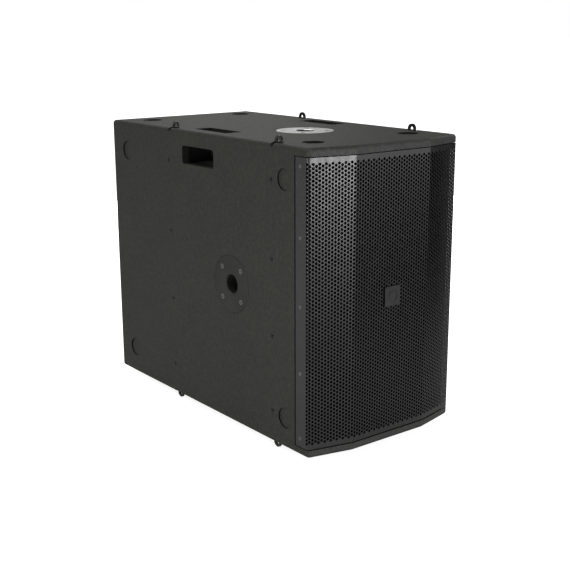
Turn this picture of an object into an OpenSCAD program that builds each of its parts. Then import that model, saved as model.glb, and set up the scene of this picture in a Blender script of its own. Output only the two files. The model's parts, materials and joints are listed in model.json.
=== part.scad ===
// Subwoofer cabinet for a line array system: a deep, narrow plywood box with a
// three-facet perforated steel front, two 10 inch woofers, corner handles, pole
// sockets, rigging bars and an amplifier module in the back.
// +Z is up, the grille faces -Y, and the origin is on the floor under the middle.

/* [Cabinet] */
// Width across the two sides
cab_w = 360; // [356:1:380]
// Height of the plywood box, without the feet
cab_h = 560; // [560:1:580]
// Length of a side, from the front corner to the back
side_len = 676; // [670:1:700]
// How far the centre facet stands in front of the side's front corner
nose = 21; // [15:1:30]
// Width of the centre facet
centre_w = 180; // [150:2:200]
// Plywood thickness
ply = 15; // [15:0.5:18]
// Radius of the long outer edges
edge_r = 7; // [3:0.5:7]
// Radius of the front corners of the top and bottom panels, seen from above
lip_r = 9; // [8:1:20]

/* [Grille] */
// Thickness of the folded steel sheet
sheet = 1.5; // [1:0.1:1.5]
// Depth of the flange along each side
flange_d = 35.2; // [33:0.2:37.4]
// Gap between the grille and the plywood around it
grille_gap = 1.8; // [0.8:0.1:2]
// Side of the square badge
badge_w = 37; // [30:1:44]
// Height of the badge above the centre facet
badge_h = 3; // [1.5:0.5:4]

/* [Fittings] */
// Height of the rubber feet
foot_h = 14; // [13:0.5:16]
// Diameter of the rubber feet
foot_d = 38; // [34:1:38]
// Bore of the pole sockets, for a 35 mm pole
pole_bore = 36.2; // [35.6:0.1:38]
// Diameter of the pole socket's plate
plate_d = 112.4; // [110:0.2:113]
// Bore of the rigging eyes
eye_bore = 10; // [8:0.5:11]

/* [Handles] */
// Length of the handle slots
slot_len = 110; // [100:1:120]
// Width of the slot in the top
slot_w = 37; // [34:1:40]
// Height of the slot in the side
slot_h = 36; // [34:1:40]
// Width and height of the corner that the hand closes round
grip = 30; // [30:1:34]

/* [Hidden] */
$fn = 48;
eps = 0.01;

// Frame: fy() takes a distance behind the side's front corner, fz() a height in the box
lip_setback = 1.5;
badge_proud = max(0, badge_h - lip_setback);
total_depth = side_len + nose + badge_proud;
corner_y = nose + badge_proud - total_depth / 2;
half_w = cab_w / 2;
mid = cab_h / 2;
function fy(d) = corner_y + d;
function fz(h) = foot_h + h;

// Facets
facet_w = (cab_w - centre_w) / 2;
slope = nose / facet_w;
slant = sqrt(1 + slope * slope);

// Panels
side_front = 15;
rebate = sheet + 0.3;
rebate_len = 38;
baffle_y = 30;
baffle_t = 18;
back_recess = 20;
back_y = side_len - back_recess - ply;
brace_y = 256;

// Recesses that take the feet of the next cabinet, and the shallow ones in the sides
foot_x = 116;
foot_ys = [66, 612];
recess_r = 20.5;
recess_depth = 9;
side_recess_r = 20;
side_recess_depth = 2.5;
side_recess_zs = [59, 500];

// Pole sockets
pole_y = 232;
plate_t = 4;
plate_gap = 0.6;
tube_r = pole_bore / 2 + 3.9;
tube_depth = 80;
thread_r = 8.75;
thread_len = 12;
plate_bolt = 30;

// Rigging bars
bar_t = 4;
bar_w = 20;
bar_ys = [103, 443];
bar_x = 161;
lug_x = 166.5;
eye_h = 2.5;
bar_zs = [-eye_h, 36, 48, cab_h + eye_h];
bar_xs = [lug_x, lug_x, bar_x, bar_x];
rig_slot = [160, 172];
rig_slot_w = 24;
groove_w = 9;
groove_depth = 7;
rig_pitch = 144;

// Handles
slot_y = 285;
pocket_wall = 8;
slot_r = 5;

// Screws: [head radius, head height, shank radius, length]
csk_screw = [5, 2.5, 2.5, 14];
rig_screw = [4.4, 4, 2.9, 18];
flange_screw = [3.4, 1.4, 1.9, 14];
foot_screw = [6.5, 4, 2.6, 21];
woofer_screw = [4, 4, 2.4, 19];
play = 0.12;
flange_screw_y = 23;
flange_pitch = 123.7;
rig_screw_sink = 4.6;

// Woofers: radii from the axis, heights above the baffle's front face
woofer_pitch = 264;
flange_r = 128.5;
cutout_r = 118;
bolt_r = 123.5;
n_bolts = 8;
cone_neck = 25.1;
cone_rim = 101.2;
cone_t = 1.2;
cap_r = 34;
cap_rise = 10;
roll_r = 5.5;
roll_mid = 106.7;
rubber_t = 0.8;

// Ports
port_x = 130;
port_z = 47;
port_bore = 25;
port_wall = 2.5;
port_len = 180;

// Amplifier: positions are seen from behind, from the middle of its plate
amp_w = 250;
amp_h = 400;
amp_t = 3;
amp_hole = [226, 376];
housing = [222, 368, 110];
housing_wall = 1.5;
control_v = 160;
audio_v = 92;
mains_v = 22;
input_us = [-84, -42];
output_us = [0, 42];
mains_us = [-70, -20];
rocker_u = 75;
display_u = -70;
encoder_u = 0;
button_u = 38;
level_u = 85;
socket_size = [26, 31, 2];
rocker_tilt = 9;
rocker_r = 12;
rocker_z = -4;
latch_v = 12.8;

// ---------- Outlines ----------

// The front of the cabinet seen from above, moved inwards: sides by ts, facets by tf
function front_path(ts, tf, y_end) =
    let (x_side = half_w - ts,
         y_side = corner_y - slope * ts + tf * slant,
         x_fold = half_w - (nose + tf * (slant - 1)) / slope,
         y_front = corner_y - nose + tf)
    [[-x_side, y_end], [-x_side, y_side], [-x_fold, y_front],
     [x_fold, y_front], [x_side, y_side], [x_side, y_end]];

// Only the three facets, out to x_end on each side
function facet_path(tf, x_end) =
    let (p = front_path(0, tf, 0),
         y_end = corner_y - slope * (half_w - x_end) + tf * slant)
    [[-x_end, y_end], p[2], p[3], [x_end, y_end]];

function reversed(p) = [for (i = [len(p) - 1:-1:0]) p[i]];

// Middle of a circle of radius r that touches both edges at corner p
function inner_corner(p, before, after, r) =
    let (a = (before - p) / norm(before - p),
         b = (after - p) / norm(after - p),
         half = acos(a * b) / 2)
    p + (a + b) / norm(a + b) * r / sin(half);

module rounded_rect(w, h, r) {
    square([w - 2 * r, h], center = true);
    square([w, h - 2 * r], center = true);
    for (x = [-1, 1], y = [-1, 1])
        translate([x * (w / 2 - r), y * (h / 2 - r)]) circle(r);
}

module ring(r_in, r_out, z0, z1)
    rotate_extrude() polygon([[r_in, z0], [r_out, z0], [r_out, z1], [r_in, z1]]);

// A disc with a rounded upper edge
module rounded_post(r, h, e)
    rotate_extrude($fn = 32)
        polygon(concat([[0, 0], [r, 0]],
            [for (a = [0:15:90]) [r - e + e * cos(a), h - e + e * sin(a)]], [[0, h]]));

// ---------- Placing ----------

// Local +Z points out of the side face, for s = -1 (left) or 1 (right)
module on_side(s, y, h) translate([s * half_w, fy(y), fz(h)]) rotate([0, s * 90, 0]) children();
module on_top(x, y) translate([x, fy(y), fz(cab_h)]) children();
module at_woofer(h) translate([0, fy(baffle_y), fz(h)]) rotate([90, 0, 0]) children();
module at_upper() at_woofer(mid + woofer_pitch / 2) children();
module at_lower() at_woofer(mid - woofer_pitch / 2) children();
module at_both_woofers() { at_upper() children(); at_lower() children(); }
// Local +Z points out of the back, +X to the right and +Y up when seen from behind
module on_back(u, v)
    translate([-u, fy(back_y + ply + amp_t), fz(mid + v)]) rotate([90, 0, 180]) children();

module at_feet()
    for (x = [-foot_x, foot_x], y = foot_ys) translate([x, fy(y), fz(0)]) children();
module at_rig_screws(s)
    for (y = bar_ys, k = [-1.5:1:1.5]) on_side(s, y, mid + k * rig_pitch) children();
module at_flange_screws(s)
    for (k = [-2:2]) on_side(s, flange_screw_y, mid + k * flange_pitch) children();
module at_plate_screws()
    for (x = [-1, 1], y = [-1, 1]) translate([x * plate_bolt, y * plate_bolt, 0]) children();
module at_amp_screws() {
    u = (amp_w + amp_hole[0]) / 4;
    v = (amp_h + amp_hole[1]) / 4;
    for (x = [-u, u], y = [-v, -v / 3, v / 3, v]) on_back(x, y) children();
    for (y = [-v, v]) on_back(0, y) children();
}
module at_ports()
    for (x = [-port_x, port_x], h = [port_z, cab_h - port_z])
        translate([x, fy(baffle_y), fz(h)]) rotate([90, 0, 0]) children();

// ---------- Screws ----------

// Countersunk screw with its head's face at z = 0, and the hole that it fits
module csk(s, slack = 0)
    rotate_extrude()
        polygon([[0, 0], [s[0] + slack, 0], [s[2] + slack, -s[1]],
                 [s[2] + slack, -s[3] - slack], [0, -s[3] - slack]]);
module csk_with_hex(s)
    difference() {
        csk(s);
        translate([0, 0, -s[1] * 0.7]) cylinder(r = s[0] * 0.45, h = s[1], $fn = 6);
    }
// Cap screw whose head stands on z = 0
module cap_screw(s)
    difference() {
        union() {
            cylinder(r = s[0], h = s[1]);
            translate([0, 0, eps - s[3]]) cylinder(r = s[2], h = s[3]);
        }
        translate([0, 0, s[1] * 0.4]) cylinder(r = s[0] * 0.5, h = s[1], $fn = 6);
    }
module shank_hole(s, slack = play)
    translate([0, 0, -s[3] - slack]) cylinder(r = s[2] + slack, h = s[3] + slack + eps);

// ---------- Cabinet ----------

// Top panel's slab, from its underside at z = 0, with a rounded upper edge
module slab() {
    p = front_path(0, 0, total_depth / 2);
    radii = [edge_r, lip_r, edge_r * 2, edge_r * 2, lip_r, edge_r];
    n = len(p);
    hull()
        for (i = [0:n - 1])
            translate(inner_corner(p[i], p[(i + n - 1) % n], p[(i + 1) % n], radii[i]))
                rounded_post(radii[i], ply, edge_r);
}

// Slot for an eye or lug, and the groove that lets a pin in from the side
module rig_openings(top) {
    w = rig_slot[1] - rig_slot[0];
    deep = ply + 2;
    for (s = [-1, 1], y = bar_ys) {
        translate([s * (rig_slot[0] + w / 2), fy(y), 0])
            cube([w, rig_slot_w, 3 * deep], center = true);
        z = top ? ply : 0;
        dir = top ? -1 : 1;
        translate([s * (half_w + rig_slot[0]) / 2, fy(y), z + dir * (groove_depth - groove_w / 2)])
            rotate([0, 90, 0])
                cylinder(d = groove_w, h = half_w - rig_slot[0] + 2, center = true);
        translate([s * (half_w + rig_slot[0]) / 2, fy(y),
                   z + dir * (groove_depth - groove_w / 2) / 2 - dir * 1])
            cube([half_w - rig_slot[0] + 2, groove_w, groove_depth - groove_w / 2 + 2],
                 center = true);
    }
}

module pole_opening() {
    translate([0, 0, -plate_t]) cylinder(d = plate_d + 2 * plate_gap, h = plate_t + 1);
    translate([0, 0, -ply - 1]) cylinder(r = tube_r + 0.3, h = ply + 1);
    at_plate_screws() shank_hole(csk_screw);
}

module top_panel() color([0.23, 0.23, 0.22])
    difference() {
        translate([0, 0, fz(cab_h - ply)]) slab();
        for (x = [-foot_x, foot_x], y = foot_ys)
            on_top(x, y) translate([0, 0, -recess_depth]) cylinder(r = recess_r, h = recess_depth + 1);
        on_top(0, pole_y) pole_opening();
        translate([0, 0, fz(cab_h - ply)]) rig_openings(true);
        for (s = [-1, 1])
            on_top(s * (half_w - grip - slot_w / 2), slot_y + slot_len / 2)
                translate([0, 0, -ply - 1])
                    linear_extrude(ply + 2) rounded_rect(slot_w, slot_len, slot_r);
    }

module bottom_panel() color([0.23, 0.23, 0.22])
    difference() {
        translate([0, 0, fz(ply)]) mirror([0, 0, 1]) slab();
        at_feet() translate([0, 0, -1]) cylinder(r = foot_screw[2] + play, h = 14);
        translate([0, 0, fz(0)]) rig_openings(false);
    }

// A side from the flange rebate to the back, with its rear outer edge rounded
module side_slab(s) {
    x_in = half_w - ply;
    translate([0, 0, fz(ply)]) linear_extrude(cab_h - 2 * ply)
        mirror([s < 0 ? 1 : 0, 0]) {
            translate([x_in, fy(side_front)]) square([ply, side_len - side_front - edge_r]);
            translate([x_in, fy(side_len - edge_r) - eps]) square([ply - edge_r, edge_r + eps]);
            translate([half_w - edge_r, fy(side_len - edge_r)]) circle(edge_r);
        }
}

module side_panel(s, with_pole) color([0.22, 0.22, 0.2])
    difference() {
        side_slab(s);
        translate([s * (half_w - rebate + 5), fy(rebate_len / 2), fz(mid)])
            cube([10, rebate_len, cab_h], center = true);
        for (y = foot_ys, h = side_recess_zs)
            on_side(s, y, h) translate([0, 0, -side_recess_depth])
                cylinder(r = side_recess_r, h = side_recess_depth + 1);
        on_side(s, slot_y + slot_len / 2, cab_h - grip - slot_h / 2)
            translate([0, 0, -ply - 1])
                linear_extrude(ply + 2) rounded_rect(slot_h, slot_len, slot_r);
        at_rig_screws(s) {
            shank_hole(rig_screw, 1);
            translate([0, 0, -rig_screw_sink]) cylinder(r = rig_screw[0] + 0.5, h = 10);
        }
        at_flange_screws(s) shank_hole(flange_screw);
        for (y = bar_ys)
            translate([s * (half_w - ply + 3.5), fy(y), fz((ply - 1 + 50) / 2)])
                cube([9, rig_slot_w, 50 - ply + 1], center = true);
        if (with_pole) on_side(s, pole_y, mid) pole_opening();
    }
module left_side_panel() side_panel(-1, true);
module right_side_panel() side_panel(1, false);

module back_panel() color([0.2, 0.2, 0.19])
    difference() {
        translate([0, fy(back_y + ply / 2), fz(mid)])
            cube([cab_w - 2 * ply, ply, cab_h - 2 * ply], center = true);
        translate([0, fy(back_y + ply / 2), fz(mid)])
            cube([amp_hole[0], ply + 2, amp_hole[1]], center = true);
        at_amp_screws() shank_hole(csk_screw);
    }

module front_baffle() color([0.16, 0.16, 0.15])
    difference() {
        translate([0, fy(baffle_y + baffle_t / 2), fz(mid)])
            cube([cab_w - 2 * ply, baffle_t, cab_h - 2 * ply], center = true);
        at_both_woofers() {
            translate([0, 0, -baffle_t - 1]) cylinder(r = cutout_r, h = baffle_t + 2);
            at_woofer_bolts() translate([0, 0, -14.5]) cylinder(r = woofer_screw[2] + play, h = 20);
        }
        at_ports() translate([0, 0, -baffle_t - 1])
            cylinder(r = port_bore + port_wall + play, h = baffle_t + 2);
    }

module window_brace() color([0.72, 0.58, 0.4])
    difference() {
        translate([0, fy(brace_y + ply / 2), fz(mid)])
            cube([cab_w - 2 * ply, ply, cab_h - 2 * ply], center = true);
        for (s = [-1, 1])
            translate([0, fy(brace_y - 1), fz(mid + s * 124)]) rotate([-90, 0, 0])
                linear_extrude(ply + 2) rounded_rect(240, 196, 30);
    }

// Box behind the two slots of a handle, with the core of the grip across it
module handle_pocket(s) color([0.13, 0.13, 0.13]) {
    y0 = fy(slot_y);
    x_in = half_w - grip - slot_w;
    z_low = fz(cab_h - grip - slot_h);
    x_wall = half_w - ply;
    z_roof = fz(cab_h - ply);
    mirror([s < 0 ? 1 : 0, 0, 0]) difference() {
        translate([x_in - pocket_wall, y0 - pocket_wall, z_low - pocket_wall])
            cube([x_wall - x_in + pocket_wall, slot_len + 2 * pocket_wall,
                  z_roof - z_low + pocket_wall]);
        difference() {
            translate([x_in, y0, z_low]) cube([x_wall - x_in + 1, slot_len, z_roof - z_low + 1]);
            translate([half_w - grip, y0 - 1, fz(cab_h - grip)]) cube([grip, slot_len + 2, grip]);
        }
    }
}
module left_handle_pocket() handle_pocket(-1);
module right_handle_pocket() handle_pocket(1);

module damping_felt() color([0.55, 0.56, 0.5]) {
    felt = 20;
    for (s = [-1, 1])
        translate([s * (half_w - ply - felt / 2), fy(545), fz(270)])
            cube([felt, 150, 420], center = true);
    translate([0, fy(405), fz(ply + felt / 2)]) cube([260, 230, felt], center = true);
}

// ---------- Front ----------

module grille_section() {
    y_end = fy(flange_d);
    polygon(concat(front_path(0, lip_setback, y_end),
                   reversed(front_path(sheet, lip_setback + sheet, y_end))));
}
module grille() color([0.17, 0.17, 0.17])
    difference() {
        translate([0, 0, fz(ply + grille_gap)])
            linear_extrude(cab_h - 2 * (ply + grille_gap)) grille_section();
        for (s = [-1, 1]) at_flange_screws(s) csk(flange_screw, play);
    }

module grille_foam() color([0.06, 0.06, 0.06]) {
    t0 = lip_setback + sheet + 0.05;
    x_end = half_w - sheet - 1;
    translate([0, 0, fz(ply + grille_gap)]) linear_extrude(cab_h - 2 * (ply + grille_gap))
        polygon(concat(facet_path(t0, x_end), reversed(facet_path(t0 + 5, x_end))));
}

module grille_screws() color([0.6, 0.6, 0.6])
    for (s = [-1, 1]) at_flange_screws(s) csk_with_hex(flange_screw);

module badge() color([0.25, 0.25, 0.25])
    translate([0, corner_y - nose + lip_setback, fz(mid)]) rotate([90, 0, 0])
        difference() {
            linear_extrude(badge_h) rounded_rect(badge_w, badge_w, 2);
            translate([0, 0, badge_h - 0.6]) ring(badge_w * 0.24, badge_w * 0.32, 0, 2);
        }

// ---------- Rigging ----------

// Steel bar inside the side, with an eye above the top and a lug below the bottom
module rigging_bar(s, y) color([0.08, 0.08, 0.08])
    mirror([s < 0 ? 1 : 0, 0, 0]) difference() {
        union() {
            translate([0, fy(y) + bar_w / 2, foot_h]) rotate([90, 0, 0])
                linear_extrude(bar_w)
                    polygon(concat([for (i = [0:len(bar_zs) - 1]) [bar_xs[i], bar_zs[i]]],
                        reversed([for (i = [0:len(bar_zs) - 1]) [bar_xs[i] + bar_t, bar_zs[i]]])));
            for (e = [[bar_x, cab_h + eye_h], [lug_x, -eye_h]])
                translate([e[0], fy(y), fz(e[1])]) rotate([0, 90, 0])
                    cylinder(d = bar_w, h = bar_t);
        }
        for (e = [[bar_x, cab_h + eye_h], [lug_x, -eye_h]])
            translate([e[0] - 1, fy(y), fz(e[1])]) rotate([0, 90, 0])
                cylinder(d = eye_bore, h = bar_t + 2);
        for (k = [-1.5:1:1.5])
            translate([bar_x - 1, fy(y), fz(mid + k * rig_pitch)]) rotate([0, 90, 0])
                cylinder(r = rig_screw[2] + play, h = bar_t + 2);
    }
module front_left_rigging_bar() rigging_bar(-1, bar_ys[0]);
module rear_left_rigging_bar() rigging_bar(-1, bar_ys[1]);
module front_right_rigging_bar() rigging_bar(1, bar_ys[0]);
module rear_right_rigging_bar() rigging_bar(1, bar_ys[1]);

module rigging_screws() color([0.12, 0.12, 0.12])
    for (s = [-1, 1]) at_rig_screws(s) translate([0, 0, -rig_screw_sink]) cap_screw(
        [rig_screw[0], rig_screw[1], rig_screw[2], ply - rig_screw_sink + bar_t]);

// ---------- Pole sockets and feet ----------

module pole_socket(c) color(c) {
    r = pole_bore / 2;
    chamfer = 2.4;
    z_floor = -tube_depth;
    difference() {
        rotate_extrude($fn = 96) polygon([
            [r, z_floor], [thread_r, z_floor], [thread_r, z_floor - thread_len],
            [tube_r, z_floor - thread_len], [tube_r, -plate_t], [plate_d / 2, -plate_t],
            [plate_d / 2, 0], [r + chamfer, 0], [r, -chamfer]]);
        at_plate_screws() csk(csk_screw, play);
    }
}
module top_pole_socket() on_top(0, pole_y) pole_socket([0.75, 0.74, 0.73]);
module side_pole_socket() on_side(-1, pole_y, mid) pole_socket([0.2, 0.2, 0.19]);

module countersunk_screws() color([0.5, 0.5, 0.5]) {
    on_top(0, pole_y) at_plate_screws() csk_with_hex(csk_screw);
    on_side(-1, pole_y, mid) at_plate_screws() csk_with_hex(csk_screw);
    at_amp_screws() csk_with_hex(csk_screw);
}

module rubber_feet() color([0.05, 0.05, 0.05])
    at_feet() rotate_extrude() polygon([
        [foot_screw[2] + play, 0], [foot_d / 2, 0], [foot_d / 2 - 1.5, 1.5 - foot_h],
        [foot_d / 2 - 3, -foot_h], [8, -foot_h], [8, 5 - foot_h],
        [foot_screw[2] + play, 5 - foot_h]]);

module foot_screws() color([0.6, 0.6, 0.6])
    at_feet() translate([0, 0, 5 - foot_h]) rotate([180, 0, 0]) cap_screw(foot_screw);

// ---------- Woofers and ports ----------

module at_woofer_bolts()
    for (i = [0:n_bolts - 1]) rotate((i + 0.5) * 360 / n_bolts) translate([bolt_r, 0, 0]) children();

module basket() color([0.3, 0.3, 0.31])
    difference() {
        rotate_extrude($fn = 96) polygon([
            [flange_r, 0], [flange_r, 5], [112, 5], [112, 1], [70, -44], [61, -44],
            [61, -70], [40, -70], [40, -75], [66, -75], [66, -49], [73, -49], [117, 0]]);
        for (i = [0:5]) rotate(i * 60) translate([92, 0, -25]) cube([34, 50, 38], center = true);
        at_woofer_bolts() cylinder(r = woofer_screw[2] + 0.3, h = 20, center = true);
    }
module upper_basket() at_upper() basket();
module lower_basket() at_lower() basket();

module woofer_front_plates() color([0.6, 0.6, 0.62]) at_both_woofers() ring(26.3, 62, -83, -75);
module woofer_magnets() color([0.14, 0.14, 0.15]) at_both_woofers() ring(36, 72, -101, -83);
module woofer_yokes() color([0.6, 0.6, 0.62])
    at_both_woofers() rotate_extrude()
        polygon([[9, -109], [65, -109], [65, -101], [24, -101], [24, -75], [9, -75]]);
module woofer_gaskets() color([0.1, 0.1, 0.1])
    at_both_woofers() ring(113, bolt_r - woofer_screw[0] - 0.8, 5 + rubber_t, 8.6);
module woofer_screws() color([0.1, 0.1, 0.1])
    at_both_woofers() at_woofer_bolts() translate([0, 0, 5]) cap_screw(woofer_screw);

// Half roll between the cone's rim and the basket's flange
module surround() color([0.07, 0.07, 0.07])
    rotate_extrude($fn = 96) polygon(concat(
        [[117.8, 5], [117.8, 5 + rubber_t]],
        [for (a = [0:20:180]) [roll_mid + roll_r * cos(a), 5 + rubber_t + roll_r * sin(a)]],
        [[98, 5 + rubber_t], [98, 5]],
        [for (a = [180:-20:0])
            [roll_mid + (roll_r - rubber_t) * cos(a), 5 + (roll_r - rubber_t) * sin(a)]]));
module upper_surround() at_upper() surround();
module lower_surround() at_lower() surround();

// Corrugated disc from the coil to the basket's ledge
function ripple(r) = r > 30 && r < 60 ? 0.8 * (1 - cos((r - 30) * 48)) : 0;
module spider() color([0.75, 0.62, 0.35])
    rotate_extrude($fn = 96) polygon(concat(
        [for (r = [25.2:1.84:69.4]) [r, -44 + ripple(r)]],
        [for (r = [69.36:-1.84:25.1]) [r, -43.4 + ripple(r)]]));
module upper_spider() at_upper() spider();
module lower_spider() at_lower() spider();

// Front surface of the cone at radius r
function cone_z(r) = -41 + 44.8 * pow((r - cone_neck) / (98 - cone_neck), 0.85);
module cone_body() color([0.12, 0.12, 0.13])
    rotate_extrude($fn = 96) polygon(concat(
        [for (k = [0:8]) let (r = cone_neck + k * (98 - cone_neck) / 8) [r, cone_z(r)]],
        [[98, 5], [cone_rim, 5], [cone_rim, 5 - cone_t], [98 + cone_t, 5 - cone_t]],
        [for (k = [8:-1:0]) let (r = cone_neck + k * (98 - cone_neck) / 8)
            [k == 8 ? 98 + cone_t : r, cone_z(r) - cone_t * 1.1]]));
module upper_cone() at_upper() cone_body();
module lower_cone() at_lower() cone_body();

module dust_cap() color([0.1, 0.1, 0.1]) {
    big = (cap_r * cap_r + cap_rise * cap_rise) / (2 * cap_rise);
    z_mid = cone_z(cap_r) + 0.6 + cap_rise - big;
    span = asin(cap_r / big);
    rotate_extrude() polygon(concat(
        [for (k = [0:8]) [big * sin(k * span / 8), z_mid + big * cos(k * span / 8)]],
        [for (k = [8:-1:0]) [(big - 1) * sin(k * span / 8), z_mid + (big - 1) * cos(k * span / 8)]]));
}
module upper_dust_cap() at_upper() dust_cap();
module lower_dust_cap() at_lower() dust_cap();

module voice_coil() color([0.72, 0.42, 0.2])
    rotate_extrude() polygon([[24.6, -88], [25.8, -88], [25.8, -70], [25, -70], [25, -41], [24.6, -41]]);
module upper_voice_coil() at_upper() voice_coil();
module lower_voice_coil() at_lower() voice_coil();

module port_tubes() color([0.1, 0.1, 0.1])
    at_ports() rotate_extrude() polygon([
        [port_bore, -port_len], [port_bore + port_wall, -port_len], [port_bore + port_wall, 0],
        [port_bore + 5, 0], [port_bore + 5, 1.5], [port_bore + 2, 1.5], [port_bore, -6]]);

// ---------- Amplifier ----------

module plate_cutouts() {
    for (u = concat(input_us, output_us)) on_back(u, audio_v)
        translate([0, 0, -amp_t - 1]) cylinder(r = 12, h = amp_t + 2);
    for (u = input_us) on_back(u, audio_v + latch_v) cube([8.4, 6, 10], center = true);
    for (u = mains_us) on_back(u, mains_v)
        translate([0, 0, -amp_t - 1]) cylinder(r = 12.4, h = amp_t + 2);
    on_back(rocker_u, mains_v) cube([20.4, 27.4, 12], center = true);
    on_back(display_u, control_v) cube([64, 26, 12], center = true);
    for (p = [[encoder_u, 3.6], [level_u, 3.6], [button_u, 4.4]])
        on_back(p[0], control_v) cylinder(r = p[1], h = 12, center = true);
}
module amp_plate() color([0.12, 0.12, 0.13])
    difference() {
        on_back(0, 0) translate([0, 0, -amp_t]) linear_extrude(amp_t) rounded_rect(amp_w, amp_h, 4);
        plate_cutouts();
        at_amp_screws() csk(csk_screw, play);
    }

module amp_heatsink() color([0.15, 0.15, 0.16])
    on_back(0, -105) {
        translate([-100, -75, 0]) cube([200, 150, 4]);
        for (i = [0:16]) translate([-98.1 + i * 12, -75, 4 - eps]) cube([2.2, 150, 12]);
    }

module amp_housing() color([0.6, 0.61, 0.62])
    on_back(0, 0) difference() {
        translate([0, 0, -amp_t - housing[2] / 2]) cube(housing, center = true);
        translate([0, 0, -amp_t - housing[2] / 2 + housing_wall])
            cube([housing[0] - 2 * housing_wall, housing[1] - 2 * housing_wall, housing[2]],
                 center = true);
    }

module standoffs(us, vs, z)
    for (u = us, v = vs) translate([u, v, z]) cylinder(r = 3, h = -amp_t - z);

module power_board() color([0.1, 0.35, 0.18])
    on_back(0, 0) {
        z = -60;
        translate([-95, -175, z]) cube([190, 170, 1.6]);
        standoffs([-88, 88], [-168, -12], z);
        translate([-60, -90, z - 17]) cube([62, 54, 34.2], center = true);
        for (k = [0:3]) translate([0 + k * 26, -140, z - 34]) cylinder(r = 11, h = 34.2);
        translate([40, -60, z - 10]) cube([70, 24, 20.2], center = true);
    }

module control_board() color([0.1, 0.3, 0.4])
    on_back(0, 0) {
        z = -27;
        top = z + 1.6;
        translate([-100, 62, z]) cube([200, 116, 1.6]);
        standoffs([-94, 94], [68, 138], z);
        translate([level_u, control_v, z]) cylinder(r = 7.5, h = -11.3 - z);
        translate([button_u - 3, control_v - 3, z]) cube([6, 6, -8.5 - z]);
        difference() {
            translate([encoder_u - 6, control_v - 6, z]) cube([12, 12, -14 - z]);
            translate([encoder_u, control_v, top]) cylinder(r = 2.7, h = 20);
        }
    }

module socket_flange() linear_extrude(socket_size[2]) rounded_rect(socket_size[0], socket_size[1], 3);

// Three contact positions round the middle of an audio socket
contacts = [[-4.3, 1.6], [4.3, 1.6], [0, -4.6]];
module input_sockets() color([0.09, 0.09, 0.09])
    for (u = input_us) on_back(u, audio_v) difference() {
        union() {
            socket_flange();
            translate([0, 0, -24]) cylinder(r = 11.6, h = 24 + eps);
        }
        ring(8, 9.8, -12, 3);
        translate([0, 0, 0.5]) cylinder(r = 8.5, h = 3);
        for (c = contacts) translate([c[0], c[1], -12]) cylinder(r = 1.4, h = 15);
        translate([0, latch_v, 0]) cube([7.4, 3.9, 12], center = true);
    }

module output_sockets() color([0.09, 0.09, 0.09])
    for (u = output_us) on_back(u, audio_v) {
        difference() {
            union() {
                socket_flange();
                translate([0, 0, -24]) cylinder(r = 11.6, h = 24 + eps);
            }
            translate([0, 0, -14]) cylinder(r = 9.6, h = 20);
        }
        for (c = contacts) translate([c[0], c[1], -14 - eps]) cylinder(r = 1.2, h = 13);
    }

module mains_sockets() color([0.2, 0.24, 0.45])
    for (u = mains_us) on_back(u, mains_v) difference() {
        union() {
            socket_flange();
            translate([0, 0, -28]) cylinder(r = 12, h = 28 + eps);
        }
        ring(5.2, 10.6, -14, 3);
        translate([0, 0, -1]) cylinder(r = 6, h = 5);
        for (a = [90, 210, 330]) rotate(a) translate([3, 0, 0]) cube([0.8, 2.6, 24], center = true);
    }

module input_latch(u) color([0.3, 0.3, 0.3])
    on_back(u, audio_v + latch_v) translate([-3.3, -1.6, 0.2]) cube([6.6, 3.2, 2.8]);
module input_latch_1() input_latch(input_us[0]);
module input_latch_2() input_latch(input_us[1]);

module power_switch_frame() color([0.08, 0.08, 0.08])
    on_back(rocker_u, mains_v) difference() {
        union() {
            linear_extrude(1.5) rounded_rect(24, 32, 2);
            translate([-10, -13.5, -16]) cube([20, 27, 16 + eps]);
        }
        translate([-8.6, -12.2, -14]) cube([17.2, 24.4, 20]);
        translate([0, 0, rocker_z]) rotate([0, 90, 0]) cylinder(r = 1.55, h = 30, center = true);
    }

// Rocker with a shallow V across its front, lying in its off position
module power_rocker() color([0.12, 0.12, 0.12])
    on_back(rocker_u, mains_v) translate([0, 0, rocker_z]) rotate([rocker_tilt, 0, 0])
        rotate([0, 90, 0]) {
            translate([0, 0, -8.2]) linear_extrude(16.4) intersection() {
                circle(rocker_r);
                polygon([[5, -13], [5, 13], [-7.2, 13], [-4.6, 0], [-7.2, -13]]);
            }
            cylinder(r = 1.5, h = 19.2, center = true);
        }

module display_window() color([0.05, 0.07, 0.1])
    on_back(display_u, control_v) {
        linear_extrude(1.5) rounded_rect(76, 34, 2);
        translate([-31.5, -12.5, -8]) cube([63, 25, 8 + eps]);
    }

module encoder_plunger() color([0.7, 0.7, 0.72])
    on_back(encoder_u, control_v) translate([0, 0, -18]) cylinder(r = 2.2, h = 6.5);

module knob(r, h) {
    difference() {
        union() {
            translate([0, 0, 1.2]) cylinder(r = r, h = h);
            translate([0, 0, -11.2]) cylinder(r = 3, h = 12.5);
        }
        for (a = [0:30:330]) rotate(a) translate([r + 0.5, 0, 3]) cylinder(r = 1.1, h = h, $fn = 16);
        translate([-0.6, r * 0.3, h + 0.6]) cube([1.2, r, 2]);
    }
}
module encoder_knob() color([0.15, 0.15, 0.15]) on_back(encoder_u, control_v) knob(9, 13);
module level_knob() color([0.15, 0.15, 0.15]) on_back(level_u, control_v) knob(8, 13);
module back_button() color([0.25, 0.25, 0.25])
    on_back(button_u, control_v) translate([0, 0, -7]) cylinder(r = 4, h = 9.5);

// ---------- Drawing ----------

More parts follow.
